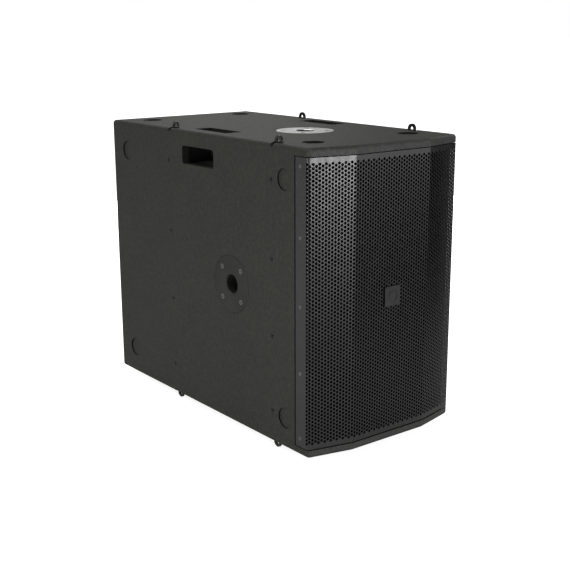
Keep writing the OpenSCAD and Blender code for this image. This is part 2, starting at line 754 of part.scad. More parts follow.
top_panel();
bottom_panel();
left_side_panel();
right_side_panel();
back_panel();
front_baffle();
window_brace();
left_handle_pocket();
right_handle_pocket();
damping_felt();
grille();
grille_foam();
grille_screws();
badge();
front_left_rigging_bar();
rear_left_rigging_bar();
front_right_rigging_bar();
rear_right_rigging_bar();
rigging_screws();
top_pole_socket();
side_pole_socket();
countersunk_screws();
rubber_feet();
foot_screws();
port_tubes();
upper_basket();
lower_basket();
woofer_front_plates();
woofer_magnets();
woofer_yokes();
woofer_gaskets();
woofer_screws();
upper_surround();
lower_surround();
upper_spider();
lower_spider();
upper_cone();
lower_cone();
upper_dust_cap();
lower_dust_cap();
upper_voice_coil();
lower_voice_coil();
amp_plate();
amp_heatsink();
amp_housing();
power_board();
control_board();
input_sockets();
output_sockets();
mains_sockets();
input_latch_1();
input_latch_2();
power_switch_frame();
power_rocker();
display_window();
encoder_plunger();
encoder_knob();
level_knob();
back_button();
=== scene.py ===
"""Looks of a line array subwoofer cabinet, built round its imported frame. All lengths are metres."""
import json
from math import cos, pi, radians, sin, sqrt

import bmesh
import bpy
from mathutils import Matrix, Vector, noise


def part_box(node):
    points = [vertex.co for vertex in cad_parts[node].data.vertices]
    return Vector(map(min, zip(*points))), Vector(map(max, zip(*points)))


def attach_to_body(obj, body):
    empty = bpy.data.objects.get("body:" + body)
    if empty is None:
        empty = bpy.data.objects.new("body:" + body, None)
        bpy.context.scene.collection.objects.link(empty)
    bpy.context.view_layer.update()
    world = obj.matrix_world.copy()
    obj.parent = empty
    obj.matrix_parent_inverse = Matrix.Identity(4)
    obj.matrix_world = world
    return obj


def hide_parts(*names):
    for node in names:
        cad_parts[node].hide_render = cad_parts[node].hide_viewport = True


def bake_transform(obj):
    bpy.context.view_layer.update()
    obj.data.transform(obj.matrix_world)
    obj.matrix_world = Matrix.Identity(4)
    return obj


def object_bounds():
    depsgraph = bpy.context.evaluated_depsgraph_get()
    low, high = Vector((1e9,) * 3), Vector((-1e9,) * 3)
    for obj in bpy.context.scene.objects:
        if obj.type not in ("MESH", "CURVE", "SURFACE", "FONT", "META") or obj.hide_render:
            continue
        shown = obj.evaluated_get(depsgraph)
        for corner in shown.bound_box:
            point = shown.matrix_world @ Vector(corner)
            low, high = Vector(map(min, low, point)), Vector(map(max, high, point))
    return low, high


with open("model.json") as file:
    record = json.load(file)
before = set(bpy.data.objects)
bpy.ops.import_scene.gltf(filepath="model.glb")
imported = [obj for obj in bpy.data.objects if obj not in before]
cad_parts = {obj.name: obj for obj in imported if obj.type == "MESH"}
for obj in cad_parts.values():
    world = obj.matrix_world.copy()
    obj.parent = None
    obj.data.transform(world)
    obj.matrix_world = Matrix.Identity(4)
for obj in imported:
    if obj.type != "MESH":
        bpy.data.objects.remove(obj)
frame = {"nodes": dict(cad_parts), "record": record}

MM = 0.001
CAD_LOW, CAD_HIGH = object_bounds()
GRILLE_LOW, GRILLE_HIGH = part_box("grille")
FOAM_LOW, FOAM_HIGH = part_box("grille_foam")
PLATE_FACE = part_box("amp_plate")[1].y

# The folded front, seen from above: the outline of the steel's outer face.
# Its sides are drawn a screw head's height in from the box, so that the heads stay in the box.
SHEET = 1.5 * MM
SCREW_RISE = 0.2 * MM
HALF_WIDTH = GRILLE_HIGH.x - SCREW_RISE
CENTRE_WIDTH = 180 * MM
NOSE = 21 * MM
LIP_SETBACK = 1.5 * MM
SLOPE = NOSE / (HALF_WIDTH - CENTRE_WIDTH / 2)
SLANT = sqrt(1 + SLOPE * SLOPE)
FRONT_Y = GRILLE_LOW.y
BEND_RADIUS = 3.5 * MM

# The holes stand in vertical columns, counted from the middle. Every other column has one hole less
# and starts half a pitch lower. A fold is at 14 2/3 columns and the last column is beside the corner.
HOLE_RADIUS = 2.85 * MM
HOLE_CORNERS = 12
ROW_PITCH = 7 * MM
ROWS = 73
FOLD_COLUMN = 44 / 3
CORNER_COLUMN = 30
CORNER_TO_COLUMN = 2.4 * MM

# Soft pieces: bumps are the size and the depth of their unevenness
FOAM_THICKNESS = 4.6 * MM
FOAM_GAP = 0.2 * MM
FOAM_PLAY = (0.3 * MM, 0.5 * MM)
FOAM_BUMPS = (9 * MM, 0.7 * MM)
FOAM_GRID = (120, 180)
FELT_BUMPS = (30 * MM, 2.5 * MM)
FELT_ROUNDING = 3 * MM
FELT_FLAT_PART = 0.75
FELT_CUTS = 14

# Where each suspension is glued, as radii from the woofer's axis: to the cone and to the basket
SUSPENSIONS = {
    "surround": {"slot": "surround_rubber", "wedges": 12, "cone_glue": 101.2 * MM, "basket_glue": 112 * MM},
    "spider": {"slot": "spider_cloth", "wedges": 8, "cone_glue": 28 * MM, "basket_glue": 61 * MM},
}

# Small parts on the back
LAMP_DISTANCE = 24 * MM
LAMP_PITCH = 8 * MM
SOCKET_SCREW_INSET = 3.2 * MM
PRINT_LINE = 0.5 * MM
PRINT_INK = 0.06 * MM
PRINT_MARGIN = 4 * MM
LEVEL_MARKS = 11
LEVEL_STEP = 30
LONG_MARK = {"length": 3 * MM, "reach": 12.5 * MM}
SHORT_MARK = {"length": 2 * MM, "reach": 12 * MM}
POINTER_WIDTH = 1 * MM
POINTER_THICKNESS = 1.3 * MM
POINTER_SUNK = 1.5 * MM
POINTER_PART = 0.62

# Paint of the wooden panels, and the painted shade, nearly black, in the flange's rebate and on the
# recesses' walls
PAINT_DARK = (0.018, 0.0186, 0.0148)
PAINT_LIGHT = (0.0515, 0.0532, 0.0425)
# Painted highlight: the lighter colours of the paint's faces that look forward
FRONT_HIGHLIGHT_PAINT_DARK = (0.036, 0.0362, 0.0358)
FRONT_HIGHLIGHT_PAINT_LIGHT = (0.1, 0.1004, 0.0985)
NEARLY_BLACK = (0.002, 0.002, 0.002)
REBATE_DEPTH = 1 * MM
REBATE_BEHIND_FLANGE = 3.2 * MM
RECESS_WALL = (0.3 * MM, 2.4 * MM)
RECESS_ZONE = (240 * MM, 320 * MM)


# ---------- Meshes ----------

def linked(name, data):
    """New object for a mesh, a light or a camera, put into the scene."""
    obj = bpy.data.objects.new(name, data)
    bpy.context.scene.collection.objects.link(obj)
    return obj


def mesh_from(bm, name, sharp=None):
    """Smooth-shaded mesh of a bmesh, which is freed; edges over the sharp angle in degrees stay sharp."""
    mesh = bpy.data.meshes.new(name)
    bm.to_mesh(mesh)
    bm.free()
    mesh.polygons.foreach_set("use_smooth", [True] * len(mesh.polygons))
    if sharp:
        mesh.set_sharp_from_angle(angle=radians(sharp))
    return mesh


def new_object(name, vertices, faces, smooth=False):
    """Object of a mesh given as lists of points and loops."""
    mesh = bpy.data.meshes.new(name)
    mesh.from_pydata([tuple(v) for v in vertices], [], [tuple(f) for f in faces])
    mesh.validate()
    mesh.update()
    mesh.polygons.foreach_set("use_smooth", [smooth] * len(mesh.polygons))
    return linked(name, mesh)


# ---------- Perforated front ----------

def outline(depth):
    """Middle, fold, corner and rear of the right half of the front, at a depth behind its outer face."""
    fold_x = HALF_WIDTH - (NOSE + (depth + LIP_SETBACK) * (SLANT - 1)) / SLOPE
    corner_x = HALF_WIDTH - depth
    front = FRONT_Y + depth
    corner_y = front + (corner_x - fold_x) * SLOPE
    rear = Vector((corner_x, GRILLE_HIGH.y))
    return [Vector((0, front)), Vector((fold_x, front)), Vector((corner_x, corner_y)), rear]


def lengths(points):
    """Distance along the outline at each of its points."""
    total, found = 0.0, [0.0]
    for a, b in zip(points, points[1:]):
        total += (b - a).length
        found.append(total)
    return found


OUTER_AT = lengths(outline(0))


def fold(across, depth):
    """X and Y on the folded sheet for a distance across the flat one, to either side of the middle."""
    side = -1 if across < 0 else 1
    s = abs(across)
    segment = sum(s > corner for corner in OUTER_AT[1:3])
    inner = outline(depth)
    t = (s - OUTER_AT[segment]) / (OUTER_AT[segment + 1] - OUTER_AT[segment])
    point = inner[segment].lerp(inner[segment + 1], t)
    reach = abs(s - OUTER_AT[2])
    if reach < BEND_RADIUS:
        before = inner[2] + (inner[1] - inner[2]).normalized() * BEND_RADIUS
        after = inner[2] + (inner[3] - inner[2]).normalized() * BEND_RADIUS
        u = (s - OUTER_AT[2] + BEND_RADIUS) / (2 * BEND_RADIUS)
        point = before * (1 - u) ** 2 + inner[2] * 2 * u * (1 - u) + after * u * u
    return side * point.x, point.y


def column_at(third):
    """Distance across the flat sheet of a line of the pattern, which is counted in thirds of a column."""
    side = -1 if third < 0 else 1
    k = abs(third) / 3
    if k <= FOLD_COLUMN:
        return side * k * OUTER_AT[1] / FOLD_COLUMN
    outer_pitch = (OUTER_AT[2] - OUTER_AT[1] + CORNER_TO_COLUMN) / (CORNER_COLUMN - FOLD_COLUMN)
    return side * (OUTER_AT[1] + (k - FOLD_COLUMN) * outer_pitch)


def midpoint(a, b):
    return (a[0] + b[0]) / 2, (a[1] + b[1]) / 2


class FlatSheet:
    """Pattern of the unfolded sheet, as points (across, height) and the faces between them."""

    middle = (GRILLE_LOW.z + GRILLE_HIGH.z) / 2

    def __init__(self):
        self.points, self.index, self.faces = [], {}, []

    def point(self, s, z):
        """Number of the point at a place, which is made only once."""
        key = (round(s * 1e7), round(z * 1e7))
        if key not in self.index:
            self.index[key] = len(self.points)
            self.points.append((s, z))
        return self.index[key]

    def rows(self, column):
        """Heights of a column's holes, from the top."""
        count = ROWS - column % 2
        return [self.middle + ((count - 1) / 2 - row) * ROW_PITCH for row in range(count)]

    def hole(self, column, z):
        """Steel between a round hole and the six-sided cell round it."""
        half = ROW_PITCH / 2
        right, upper_right, upper_left, left = (column_at(3 * column + t) for t in (2, 1, -1, -2))
        cell = [(right, z), (upper_right, z + half), (upper_left, z + half),
                (left, z), (upper_left, z - half), (upper_right, z - half)]
        rim = []
        for a, b in zip(cell, cell[1:] + cell[:1]):
            rim += [self.point(*a), self.point(*midpoint(a, b))]
        centre = column_at(3 * column)
        edge = []
        for step in range(HOLE_CORNERS):
            angle = 2 * pi * step / HOLE_CORNERS
            edge.append(self.point(centre + HOLE_RADIUS * cos(angle), z + HOLE_RADIUS * sin(angle)))
        for i in range(HOLE_CORNERS):
            j = (i + 1) % HOLE_CORNERS
            self.faces.append((rim[i], rim[j], edge[j], edge[i]))

    def strips(self, column):
        """Plain steel above and below a column."""
        far_left, left, centre, right, far_right = (column_at(3 * column + t) for t in (-2, -1, 0, 1, 2))
        rows = self.rows(column)
        for sign, end, edge in ((1, rows[0], GRILLE_HIGH.z), (-1, rows[-1], GRILLE_LOW.z)):
            tip = end + sign * ROW_PITCH / 2
            chain = [(left, tip), (centre, tip), (right, tip)]
            if column % 2 == 0:
                # An even column reaches further than its neighbours, so its strips take the slants too
                chain = [(far_left, end), midpoint((far_left, end), (left, tip)), *chain,
                         midpoint((right, tip), (far_right, end)), (far_right, end)]
            for a, b in zip(chain, chain[1:]):
                quad = [self.point(*a), self.point(*b), self.point(b[0], edge), self.point(a[0], edge)]
                self.faces.append(quad if sign > 0 else quad[::-1])

    def flange(self, side):
        """Plain steel from the last column to the rear edge of the flange."""
        near = column_at(side * (3 * CORNER_COLUMN + 1))
        tip = column_at(side * (3 * CORNER_COLUMN + 2))
        between = (tip + near) / 2
        rear = side * OUTER_AT[3]
        ladder = [(tip, GRILLE_HIGH.z)]
        for z in self.rows(CORNER_COLUMN):
            ladder += [(tip, z), (between, z - ROW_PITCH / 4), (near, z - ROW_PITCH / 2),
                       (between, z - 3 * ROW_PITCH / 4)]
        ladder = ladder[:-3] + [(tip, GRILLE_LOW.z)]
        for a, b in zip(ladder, ladder[1:]):
            quad = [self.point(*a), self.point(*b), self.point(rear, b[1]), self.point(rear, a[1])]
            self.faces.append(quad if side > 0 else quad[::-1])

    def folded(self, name):
        """The sheet folded into shape, with its thickness."""
        n = len(self.points)
        outer = [(*fold(s, 0), z) for s, z in self.points]
        inner = [(*fold(s, SHEET), z) for s, z in self.points]
        edges = {}
        for face in self.faces:
            edges.update(dict.fromkeys(zip(face, (*face[1:], face[0]))))
        solid = list(self.faces)
        solid += [tuple(i + n for i in reversed(face)) for face in self.faces]
        solid += [(b, a, a + n, b + n) for a, b in edges if (b, a) not in edges]
        obj = new_object(name, outer + inner, solid, smooth=True)
        obj.data.set_sharp_from_angle(angle=radians(60))
        return obj


def perforated(name, first, last):
    """Folded sheet with the columns of holes from first to last and the plain steel round them."""
    sheet = FlatSheet()
    for column in range(first, last + 1):
        for z in sheet.rows(column):
            sheet.hole(column, z)
        sheet.strips(column)
    if first == -CORNER_COLUMN:
        sheet.flange(-1)
    if last == CORNER_COLUMN:
        sheet.flange(1)
    return sheet.folded(name)


def make_grille():
    """The folded sheet in three pieces, split between columns beside the folds."""
    split = int(FOLD_COLUMN)
    ranges = {"perforated_front_left": (-CORNER_COLUMN, -split - 1),
              "perforated_front_middle": (-split, split),
              "perforated_front_right": (split + 1, CORNER_COLUMN)}
    return [perforated(name, *columns) for name, columns in ranges.items()]


# ---------- Soft pieces ----------

def soft_relief(point, size, depth):
    """A repeatable bump of a soft surface, from 0 to depth."""
    return depth * (0.5 + 0.5 * noise.noise(Vector(point) / size))


def make_foam():
    """Foam sheet glued behind the steel, with a slightly uneven face."""
    columns, rows = FOAM_GRID
    fold_x = outline(SHEET)[1].x
    half_width = FOAM_HIGH.x - FOAM_PLAY[0]
    z_low, z_high = FOAM_LOW.z + FOAM_PLAY[1], FOAM_HIGH.z - FOAM_PLAY[1]
    vertices, faces = [], []
    for front in (True, False):
        for j in range(rows + 1):
            z = z_low + (z_high - z_low) * j / rows
            for i in range(columns + 1):
                x = half_width * (2 * i / columns - 1)
                y = FRONT_Y + SHEET + FOAM_GAP + max(0, abs(x) - fold_x) * SLOPE
                y += soft_relief((x, z, 0), *FOAM_BUMPS) if front else FOAM_THICKNESS
                vertices.append((x, y, z))
    step = columns + 1
    n = step * (rows + 1)
    for j in range(rows):
        for i in range(columns):
            a = j * step + i
            faces.append((a, a + 1, a + 1 + step, a + step))
            faces.append((n + a, n + a + step, n + a + 1 + step, n + a + 1))
    rim = list(range(step)) + [j * step + columns for j in range(1, rows + 1)]
    rim += [rows * step + i for i in range(columns - 1, -1, -1)]
    rim += [j * step for j in range(rows - 1, 0, -1)]
    for a, b in zip(rim, rim[1:] + rim[:1]):
        faces.append((b, a, a + n, b + n))
    return new_object("foam_sheet", vertices, faces, smooth=True)


def felt_pad(low, high):
    """Mesh of one pad in a box: its edges are rounded and its faces slightly uneven."""
    middle = (low + high) / 2
    size = high - low
    play = Vector((1, 1, 1)) * MM
    bm = bmesh.new()
    place = Matrix.Translation(middle) @ Matrix.Diagonal((*(size - play), 1))
    bmesh.ops.create_cube(bm, size=1, matrix=place)
    bmesh.ops.subdivide_edges(bm, edges=bm.edges[:], cuts=FELT_CUTS, use_grid_fill=True)
    for v in bm.verts:
        reach = sorted(abs(v.co[i] - middle[i]) / size[i] * 2 for i in range(3))
        rounding = FELT_ROUNDING * max(0, reach[1] - FELT_FLAT_PART) / (1 - FELT_FLAT_PART)
        v.co -= (v.co - middle).normalized() * (rounding + soft_relief(v.co, *FELT_BUMPS))
    return mesh_from(bm, "pad")


def make_felt():
    """Felt pads on the inner walls, one for each solid of the CAD felt, as one object."""
    together = bmesh.new()
    for low, high in solid_boxes(frame["nodes"]["damping_felt"].data):
        pad = felt_pad(low, high)
        together.from_mesh(pad)
        bpy.data.meshes.remove(pad)
    return linked("felt_pads", mesh_from(together, "felt_pads"))


def solid_boxes(mesh):
    """Box of each separate solid in a mesh."""
    bm = bmesh.new()
    bm.from_mesh(mesh)
    bmesh.ops.remove_doubles(bm, verts=bm.verts[:], dist=0.01 * MM)
    boxes, seen = [], set()
    for vert in bm.verts:
        if vert in seen:
            continue
        island, queue = [], [vert]
        seen.add(vert)
        while queue:
            v = queue.pop()
            island.append(v.co.copy())
            for edge in v.link_edges:
                other = edge.other_vert(v)
                if other not in seen:
                    seen.add(other)
                    queue.append(other)
        boxes.append((Vector(map(min, *island)), Vector(map(max, *island))))
    bm.free()
    return boxes


# ---------- Woofer suspensions ----------

def ring_wedge(node, name, middle, first, last):
    """The part of a CAD ring round the Y axis between two angles, with its cut ends closed."""
    bm = bmesh.new()
    bm.from_mesh(frame["nodes"][node].data)
    bmesh.ops.remove_doubles(bm, verts=bm.verts[:], dist=0.01 * MM)
    for angle, side in ((first, -1), (last, 1)):
        away = Vector((-sin(angle), 0, cos(angle))) * side
        bmesh.ops.bisect_plane(bm, geom=bm.verts[:] + bm.edges[:] + bm.faces[:], dist=0.001 * MM,
                               plane_co=middle, plane_no=away, clear_outer=True)
    bmesh.ops.holes_fill(bm, edges=[edge for edge in bm.edges if edge.is_boundary], sides=0)
    bmesh.ops.recalc_face_normals(bm, faces=bm.faces[:])
    return linked(name, mesh_from(bm, name, sharp=35))


def make_suspension(node, looks, cone, slot, wedges, cone_glue, basket_glue):
    """Wedges cut from the CAD ring, each with the slot's look; the ring itself is hidden."""
    low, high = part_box(node)
    middle = (low + high) / 2
    half = pi / wedges
    for k in range(wedges):
        direction = 2 * half * k
        wedge = ring_wedge(node, f"{node}_wedge_{k + 1}", middle, direction - half, direction + half)
        wedge.data.materials.clear()
        wedge.data.materials.append(looks[slot])
        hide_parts(node)
        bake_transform(wedge)


def make_suspensions(looks):
    """Surrounds and spiders of both woofers, cut into wedges."""
    for place in ("upper", "lower"):
        for part, build in SUSPENSIONS.items():
            make_suspension(f"{place}_{part}", looks, place + "_cone", **build)


# ---------- Small parts on the back ----------

def turned(profile, segments=24):
    """Closed solid turned about +Y from (radius, height) points that start and end on the axis."""
    vertices, faces, rings = [], [], []
    for radius, height in profile:
        if radius == 0:
            rings.append([len(vertices)] * segments)
            vertices.append(Vector((0, height, 0)))
            continue
        rings.append(list(range(len(vertices), len(vertices) + segments)))
        for i in range(segments):
            angle = 2 * pi * i / segments
            vertices.append(Vector((radius * cos(angle), height, radius * sin(angle))))
    for low, high in zip(rings, rings[1:]):
        for i in range(segments):
            j = (i + 1) % segments
            loop = list(dict.fromkeys((low[i], low[j], high[j], high[i])))
            faces.append(loop)
    return vertices, faces


def bar(length, width, height, angle=0.0):
    """Flat bar on the XZ plane that points along angle, rising along +Y."""
    along = Vector((cos(angle), 0, sin(angle)))
    across = Vector((-sin(angle), 0, cos(angle)))
    vertices = []
    for y in (0, height):
        for a, b in ((-1, -1), (1, -1), (1, 1), (-1, 1)):
            vertices.append(along * (a * length / 2) + across * (b * width / 2) + Vector((0, y, 0)))
    faces = [(0, 1, 2, 3), (7, 6, 5, 4), (0, 4, 5, 1), (1, 5, 6, 2), (2, 6, 7, 3), (3, 7, 4, 0)]
    return vertices, faces


def gathered(name, shapes, smooth=False):
    """One object from several (place, (vertices, faces)) shapes."""
    vertices, faces = [], []
    for place, (points, loops) in shapes:
        first = len(vertices)
        vertices += [Vector(place) + p for p in points]
        faces += [[i + first for i in loop] for loop in loops]
    obj = new_object(name, vertices, faces, smooth)
    if smooth:
        obj.data.set_sharp_from_angle(angle=radians(35))
    return obj


def node_boxes(*nodes):
    """Middle and half size of each separate solid of the named nodes."""
    found = []
    for node in nodes:
        for low, high in solid_boxes(frame["nodes"][node].data):
            found.append(((low + high) / 2, (high - low) / 2))
    return found


def pointed(shape, direction):
    """The shape, turned from +Y to a direction."""
    turn = Vector((0, 1, 0)).rotation_difference(Vector(direction))
    return [turn @ p for p in shape[0]], shape[1]


def make_flange_screws():
    """Raised countersunk screws of the steel front's flanges."""
    shapes = []
    for middle, half in node_boxes("grille_screws"):
        side = -1 if middle.x < 0 else 1
        length = 2 * half.x
        shank = [(0, -length), (1.9 * MM, -length), (1.9 * MM, -1.4 * MM)]
        head = [(3.4 * MM, 0), (3.1 * MM, SCREW_RISE / 2), (2.4 * MM, SCREW_RISE)]
        hexagon = [(1.5 * MM, SCREW_RISE), (1.3 * MM, -1.2 * MM), (0, -1.4 * MM)]
        screw = turned(shank + head + hexagon)
        shapes.append(((side * HALF_WIDTH, middle.y, middle.z), pointed(screw, (side, 0, 0))))
    return gathered("flange_screws", shapes, smooth=True)


def make_socket_screws():
    """Two pan-head screws in opposite corners of every socket's flange."""
    rim = [(0, -1 * MM), (2.4 * MM, -1 * MM), (2.4 * MM, 0.3 * MM)]
    dome = [(2.1 * MM, 0.9 * MM), (1.4 * MM, 1.3 * MM), (1.2 * MM, 1.3 * MM)]
    screw = turned(rim + dome + [(1.0 * MM, 0.4 * MM), (0, 0.4 * MM)])
    shapes = []
    for middle, half in node_boxes("input_sockets", "output_sockets", "mains_sockets"):
        for sign in (-1, 1):
            place = (middle.x + sign * (half.x - SOCKET_SCREW_INSET), middle.y + half.y,
                     middle.z + sign * (half.z - SOCKET_SCREW_INSET))
            shapes.append((place, screw))
    return gathered("socket_screws", shapes, smooth=True)


def level_marks():
    """Marks round the level knob, longer at both ends and in the middle of its travel."""
    low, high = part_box("level_knob")
    knob = (low + high) / 2
    shapes = []
    for step in range(LEVEL_MARKS):
        turn = radians(LEVEL_STEP * ((LEVEL_MARKS - 1) / 2 - step))
        mark = LONG_MARK if step % (LEVEL_MARKS // 2) == 0 else SHORT_MARK
        place = (knob.x + mark["reach"] * sin(turn), PLATE_FACE, knob.z + mark["reach"] * cos(turn))
        shapes.append((place, bar(mark["length"], PRINT_LINE, PRINT_INK, pi / 2 - turn)))
    return shapes


def socket_frame(node):
    """Four thin lines round a pair of sockets."""
    low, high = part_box(node)
    middle = (low + high) / 2
    wide, tall = (size + 2 * PRINT_MARGIN for size in (high.x - low.x, high.z - low.z))
    shapes = []
    for sign in (-1, 1):
        shapes.append(((middle.x, PLATE_FACE, middle.z + sign * tall / 2),
                       bar(wide + PRINT_LINE, PRINT_LINE, PRINT_INK)))
        shapes.append(((middle.x + sign * wide / 2, PLATE_FACE, middle.z),
                       bar(tall - PRINT_LINE, PRINT_LINE, PRINT_INK, pi / 2)))
    return shapes


def make_panel_print():
    """The white print on the amplifier's plate."""
    shapes = level_marks()
    for node in ("input_sockets", "output_sockets", "mains_sockets"):
        shapes += socket_frame(node)
    return gathered("panel_print", shapes)


def make_lamps():
    """Three small status lamps between the display and the encoder."""
    dome = turned([(0, -1 * MM), (1.6 * MM, -1 * MM), (1.6 * MM, 0.5 * MM), (1.4 * MM, 1.0 * MM),
                   (0.8 * MM, 1.4 * MM), (0, 1.5 * MM)])
    low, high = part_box("encoder_knob")
    middle = (low + high) / 2
    x = middle.x + LAMP_DISTANCE
    shapes = [((x, PLATE_FACE, middle.z + k * LAMP_PITCH), dome) for k in (-1, 0, 1)]
    return gathered("status_lamps", shapes, smooth=True)


def make_pointer(node):
    """White line laid in the slot of a knob's face."""
    low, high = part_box(node)
    middle = (low + high) / 2
    reach = POINTER_PART * (high.x - low.x) / 2
    line = bar(reach, POINTER_WIDTH, POINTER_THICKNESS, pi / 2)
    return gathered(node + "_pointer", [((middle.x, high.y - POINTER_SUNK, middle.z + reach), line)])


# ---------- Materials ----------

# A wave texture whose scale is WAVE / width has bands about twice that width apart
WAVE = 0.16


class Look:
    """A Principled material whose colour, roughness and relief come from the object's own space."""

    def __init__(self, name, **sockets):
        self.material = bpy.data.materials.new(name)
        self.material.use_nodes = True
        self.tree = self.material.node_tree
        self.shader = self.tree.nodes["Principled BSDF"]
        for socket, value in sockets.items():
            self.shader.inputs[socket.replace("_", " ")].default_value = value
        self.place = self.add("ShaderNodeTexCoord").outputs["Object"]

    def add(self, kind, inputs=None, **settings):
        """New node; inputs are linked where they are sockets and set where they are values."""
        node = self.tree.nodes.new(kind)
        for key, value in settings.items():
            setattr(node, key, value)
        for key, value in (inputs or {}).items():
            if isinstance(value, bpy.types.NodeSocket):
                self.tree.links.new(value, node.inputs[key])
            else:
                node.inputs[key].default_value = value
        return node

    def vector(self, operation, a, b):
        return self.add("ShaderNodeVectorMath", {0: a, 1: b}, operation=operation).outputs["Vector"]

    def length(self, vector):
        return self.add("ShaderNodeVectorMath", {0: vector}, operation="LENGTH").outputs["Value"]

    def axis(self, letter, vector=None):
        """X, Y or Z of a vector, or of the point itself."""
        return self.add("ShaderNodeSeparateXYZ", {0: vector or self.place}).outputs[letter]

    def normal(self):
        return self.add("ShaderNodeNewGeometry").outputs["Normal"]

    def stretched(self, x, y, z):
        """The point's place, scaled along each axis."""
        return self.vector("MULTIPLY", self.place, (x, y, z))

    def noise(self, size, detail=3, roughness=0.55, place=None):
        """Noise with features of about that size in metres."""
        inputs = {"Vector": place or self.place, "Scale": 1 / size,
                  "Detail": detail, "Roughness": roughness}
        return self.add("ShaderNodeTexNoise", inputs).outputs["Fac"]

    def cells(self, size, feature="F1"):
        """Distance to the nearest of points about that far apart in metres."""
        inputs = {"Vector": self.place, "Scale": 1 / size}
        return self.add("ShaderNodeTexVoronoi", inputs, feature=feature).outputs["Distance"]

    def waves(self, scale, direction, **settings):
        """Parallel bands along an axis."""
        inputs = {"Vector": self.place, "Scale": scale, **settings}
        return self.add("ShaderNodeTexWave", inputs, bands_direction=direction).outputs["Fac"]

    def mapped(self, value, low, high, to_low, to_high):
        """The value taken from one range to another, and held inside it."""
        inputs = {"Value": value, "From Min": low, "From Max": high, "To Min": to_low, "To Max": to_high}
        return self.add("ShaderNodeMapRange", inputs).outputs["Result"]

    def patches(self, size, detail=3, roughness=0.55):
        """Noise spread over 0 to 1."""
        return self.mapped(self.noise(size, detail, roughness), 0.3, 0.7, 0, 1)

    def math(self, operation, *values):
        return self.add("ShaderNodeMath", dict(enumerate(values)), operation=operation).outputs["Value"]

    def weighted(self, a, part_a, b, part_b):
        """Sum of two values, each times its part."""
        return self.math("ADD", self.math("MULTIPLY", a, part_a), self.math("MULTIPLY", b, part_b))

    def both(self, a, b):
        """1 where both are 1."""
        return self.math("MULTIPLY", a, b)

    def between(self, value, low, high):
        """1 where the value is between two limits, and 0 elsewhere."""
        return self.both(self.math("GREATER_THAN", value, low), self.math("LESS_THAN", value, high))

    def mix(self, factor, a, b):
        """Colour between a and b, which are colours or sockets."""
        node = self.add("ShaderNodeMix", {"Factor": factor}, data_type="RGBA")
        for socket, value in ((node.inputs[6], a), (node.inputs[7], b)):
            if isinstance(value, bpy.types.NodeSocket):
                self.tree.links.new(value, socket)
            else:
                socket.default_value = (*value, 1)
        return node.outputs[2]

    def colour(self, value):
        self.tree.links.new(value, self.shader.inputs["Base Color"])

    def rough(self, value, low=None, high=None):
        """Roughness from a noise value, between low and high where they are given."""
        if low is not None:
            value = self.mapped(value, 0.3, 0.7, low, high)
        self.tree.links.new(value, self.shader.inputs["Roughness"])

    def relief(self, height, depth, strength=1.0):
        """Bump of that depth in metres."""
        bump = self.add("ShaderNodeBump", {"Height": height, "Distance": depth, "Strength": strength})
        self.tree.links.new(bump.outputs["Normal"], self.shader.inputs["Normal"])


def pebbled_paint(name, dark, light, front=None):
    """Hard textured paint; front is the pair of colours of the faces that look forward, lighter as a
    painted highlight.
    """
    look = Look(name, Specular_IOR_Level=0.38)
    tone = pebbles(look)
    colour = look.mix(tone, dark, light)
    if front:
        # Painted highlight: faces that look forward take the lighter front colours
        forward = look.mapped(look.axis("Y", look.normal()), -0.4, -0.9, 0, 1)
        colour = look.mix(forward, colour, look.mix(tone, *front))
    look.colour(colour)
    return look.material


def side_paint_with_painted_shade(name, dark, light):
    """The same paint, with painted shade: nearly black in the flange's rebate and on the walls of the round
    recesses.
    """
    look = Look(name, Specular_IOR_Level=0.38)
    low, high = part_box("left_side_panel")
    across = look.math("ABSOLUTE", look.axis("X"))
    along = look.math("ABSOLUTE", look.math("SUBTRACT", look.axis("Y"), (low.y + high.y) / 2))
    # Painted shade: black masks the flange's rebate and the recesses' walls, which are coloured nearly
    # black
    rebate = look.both(look.math("LESS_THAN", across, CAD_HIGH.x - REBATE_DEPTH),
                       look.math("LESS_THAN", look.axis("Y"), GRILLE_HIGH.y + REBATE_BEHIND_FLANGE))
    sunk = look.between(across, CAD_HIGH.x - RECESS_WALL[1], CAD_HIGH.x - RECESS_WALL[0])
    black = look.math("MAXIMUM", rebate, look.both(sunk, look.between(along, *RECESS_ZONE)))
    look.colour(look.mix(black, look.mix(pebbles(look), dark, light), NEARLY_BLACK))
    return look.material


def pebbles(look):
    """Tone of rounded pebbles, lighter on their tops as a painted highlight; also sets the look's relief
    and roughness.
    """
    cells = look.math("SUBTRACT", 1.0, look.cells(1.6 * MM, "SMOOTH_F1"))
    height = look.weighted(cells, 0.6, look.noise(2.6 * MM, 3, 0.7), 0.8)
    look.rough(look.noise(4 * MM), 0.5, 0.62)
    look.relief(height, 0.35 * MM, 0.8)
    # Painted highlight: the pebbles' tops are coloured lighter
    pebble_top_highlight = look.mapped(height, 0.7, 1.1, 0, 1)
    mottle = look.mapped(look.noise(9 * MM, 3, 0.6), 0.35, 0.65, 0, 1)
    cloud = look.math("MULTIPLY", look.patches(70 * MM), 0.12)
    return look.math("ADD", cloud, look.weighted(mottle, 0.3, pebble_top_highlight, 0.58))


def powder_coat(name, dark, light, roughness=0.4, grain=0.5 * MM, depth=0.03 * MM, specular=0.5):
    """Smooth powder coat with a fine orange peel."""
    look = Look(name, Specular_IOR_Level=specular)
    look.colour(look.mix(look.patches(60 * MM, 4), dark, light))
    look.rough(look.noise(12 * MM, 5), roughness - 0.05, roughness + 0.06)
    look.relief(look.noise(grain, 2), depth, 0.7)
    return look.material


